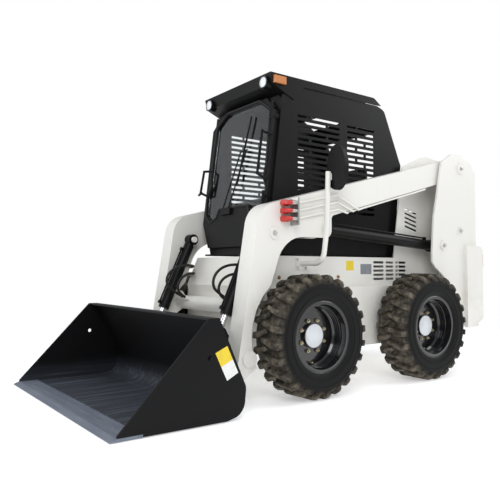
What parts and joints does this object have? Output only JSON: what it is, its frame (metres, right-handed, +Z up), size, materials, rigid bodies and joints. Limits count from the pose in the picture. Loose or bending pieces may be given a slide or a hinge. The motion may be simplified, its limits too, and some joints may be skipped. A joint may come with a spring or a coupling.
{
  "type": "skid steer loader",
  "caption": "Skid steer loader with slotted black cab, white radial lift arms, hydraulic cylinders, four lugged wheels and a black dirt bucket.",
  "frame": {"origin": "on the floor, at the middle of the overall length and width", "axes": "+X forward to the bucket, +Y to the machine's left, +Z up"},
  "size_m": [3.347, 1.704, 2.118],
  "materials": {
    "tyre_rubber": "dusty matt rubber",
    "black_gloss_paint": "gloss black paint",
    "black_paint": "satin black paint",
    "clear_glass": "clear safety glass",
    "chrome_rod": "hard chrome",
    "steel_pin": "turned steel",
    "red_block": "red coupling caps and tail lamp lenses",
    "seat_cover": "black vinyl",
    "engine_grey": "cast block",
    "lamp_lens": "clear lamp lens",
    "amber_lens": "amber lens",
    "worn_steel": "blue-grey painted edge, worn",
    "hose_rubber": "black hydraulic hose",
    "steel_pipe": "painted steel pipe",
    "white_paint": "off-white enamel"
  },
  "bodies": {
    "machine": {"axle_housings": "black_paint", "cab_frame": "black_paint", "cab_roof": "black_paint", "cab_sides": "black_paint", "chaincases": "white_paint", "chassis": "white_paint", "control_levers": "black_paint", "engine_block": "engine_grey", "frame_pins": "steel_pin", "marker_lamps": "amber_lens", "mirror": "black_paint", "mirror_pole": "white_paint", "rear_bumper": "white_paint", "rear_quarters": "white_paint", "seat": "seat_cover", "seat_base": "white_paint", "tail_lamps": "red_block", "towers": "white_paint", "work_lamps": "lamp_lens"},
    "wheel_front_left": {"tyre_front_left": "tyre_rubber", "rim_front_left": "black_gloss_paint"},
    "wheel_front_right": {"tyre_front_right": "tyre_rubber", "rim_front_right": "black_gloss_paint"},
    "wheel_rear_left": {"tyre_rear_left": "tyre_rubber", "rim_rear_left": "black_gloss_paint"},
    "wheel_rear_right": {"tyre_rear_right": "tyre_rubber", "rim_rear_right": "black_gloss_paint"},
    "lift_arms": {"lift_arm_left": "white_paint", "lift_arm_right": "white_paint", "arm_cross_tube": "white_paint", "coupler_block": "steel_pin", "arm_pipes": "steel_pipe", "coupler_caps": "red_block", "tilt_hose_left_lower": "hose_rubber", "tilt_hose_left_upper": "hose_rubber", "tilt_hose_right_lower": "hose_rubber", "tilt_hose_right_upper": "hose_rubber"},
    "lift_barrel_left": {"lift_barrel_left": "black_paint"},
    "lift_barrel_right": {"lift_barrel_right": "black_paint"},
    "lift_rod_left": {"lift_rod_left": "chrome_rod"},
    "lift_rod_right": {"lift_rod_right": "chrome_rod"},
    "tilt_barrel_left": {"tilt_barrel_left": "black_paint"},
    "tilt_barrel_right": {"tilt_barrel_right": "black_paint"},
    "tilt_rod_left": {"tilt_rod_left": "chrome_rod"},
    "tilt_rod_right": {"tilt_rod_right": "chrome_rod"},
    "bucket": {"quick_attach": "black_paint", "bucket_shell": "black_paint", "cutting_edge": "worn_steel"},
    "cab_door": {"cab_door": "black_paint", "door_glass": "clear_glass", "door_wiper": "black_paint"},
    "rear_door": {"rear_door": "black_paint"},
    "engine_hood": {"engine_hood": "black_paint"}
  },
  "joints": [
    {"name": "wheel_front_left_spin", "type": "hinge", "parent": "machine", "child": "wheel_front_left", "pos_m": [0.262, 0.66, 0.3865], "axis": [0, 1, 0], "continuous": true},
    {"name": "wheel_front_right_spin", "type": "hinge", "parent": "machine", "child": "wheel_front_right", "pos_m": [0.262, -0.66, 0.3865], "axis": [0, 1, 0], "continuous": true},
    {"name": "wheel_rear_left_spin", "type": "hinge", "parent": "machine", "child": "wheel_rear_left", "pos_m": [-0.849, 0.66, 0.3865], "axis": [0, 1, 0], "continuous": true},
    {"name": "wheel_rear_right_spin", "type": "hinge", "parent": "machine", "child": "wheel_rear_right", "pos_m": [-0.849, -0.66, 0.3865], "axis": [0, 1, 0], "continuous": true},
    {"name": "arms_lift", "type": "hinge", "parent": "machine", "child": "lift_arms", "pos_m": [-1.3935, 0, 1.62], "axis": [0, -1, 0], "range_deg": [0, 67]},
    {"name": "bucket_tilt", "type": "hinge", "parent": "lift_arms", "child": "bucket", "pos_m": [0.6975, 0, 0.268], "axis": [0, -1, 0], "range_deg": [-92, 27]},
    {"name": "lift_barrel_turn_left", "type": "hinge", "parent": "machine", "child": "lift_barrel_left", "pos_m": [-1.1545, 0.5275, 0.991], "axis": [0, -1, 0], "range_deg": [-1, 61.77]},
    {"name": "lift_rod_slide_left", "type": "slide", "parent": "lift_barrel_left", "child": "lift_rod_left", "axis": [0.9978, 0, 0.067], "range_m": [-0.002, 0.7256]},
    {"name": "tilt_barrel_turn_left", "type": "hinge", "parent": "lift_arms", "child": "tilt_barrel_left", "pos_m": [0.5075, 0.41, 1.027], "axis": [0, -1, 0], "range_deg": [-5.17, 2.22]},
    {"name": "tilt_rod_slide_left", "type": "slide", "parent": "tilt_barrel_left", "child": "tilt_rod_left", "axis": [0.4208, 0, -0.9071], "range_m": [-0.0718, 0.2397]},
    {"name": "lift_barrel_turn_right", "type": "hinge", "parent": "machine", "child": "lift_barrel_right", "pos_m": [-1.1545, -0.5275, 0.991], "axis": [0, -1, 0], "range_deg": [-1, 61.77]},
    {"name": "lift_rod_slide_right", "type": "slide", "parent": "lift_barrel_right", "child": "lift_rod_right", "axis": [0.9978, 0, 0.067], "range_m": [-0.002, 0.7256]},
    {"name": "tilt_barrel_turn_right", "type": "hinge", "parent": "lift_arms", "child": "tilt_barrel_right", "pos_m": [0.5075, -0.41, 1.027], "axis": [0, -1, 0], "range_deg": [-5.17, 2.22]},
    {"name": "tilt_rod_slide_right", "type": "slide", "parent": "tilt_barrel_right", "child": "tilt_rod_right", "axis": [0.4208, 0, -0.9071], "range_m": [-0.0718, 0.2397]},
    {"name": "cab_door_swing", "type": "hinge", "parent": "machine", "child": "cab_door", "pos_m": [0.44598, 0.39, 1.2084], "axis": [-0.1236, 0, 0.9923], "range_deg": [0, 88]},
    {"name": "rear_door_swing", "type": "hinge", "parent": "machine", "child": "rear_door", "pos_m": [-1.6385, -0.437, 0.8], "axis": [0, 0, 1], "range_deg": [0, 100]},
    {"name": "engine_hood_lift", "type": "hinge", "parent": "machine", "child": "engine_hood", "pos_m": [-0.9835, 0, 1.268], "axis": [0, 1, 0], "range_deg": [0, 60]}
  ],
  "couplings": [
    {"joint": "lift_barrel_turn_left", "follows": "arms_lift", "ratio": 0.90697},
    {"joint": "lift_rod_slide_left", "follows": "arms_lift", "m_per_rad": 0.61876},
    {"joint": "tilt_barrel_turn_left", "follows": "bucket_tilt", "ratio": 0.04532},
    {"joint": "tilt_rod_slide_left", "follows": "bucket_tilt", "m_per_rad": -0.14802},
    {"joint": "lift_barrel_turn_right", "follows": "arms_lift", "ratio": 0.90697},
    {"joint": "lift_rod_slide_right", "follows": "arms_lift", "m_per_rad": 0.61876},
    {"joint": "tilt_barrel_turn_right", "follows": "bucket_tilt", "ratio": 0.04532},
    {"joint": "tilt_rod_slide_right", "follows": "bucket_tilt", "m_per_rad": -0.14802}
  ]
}
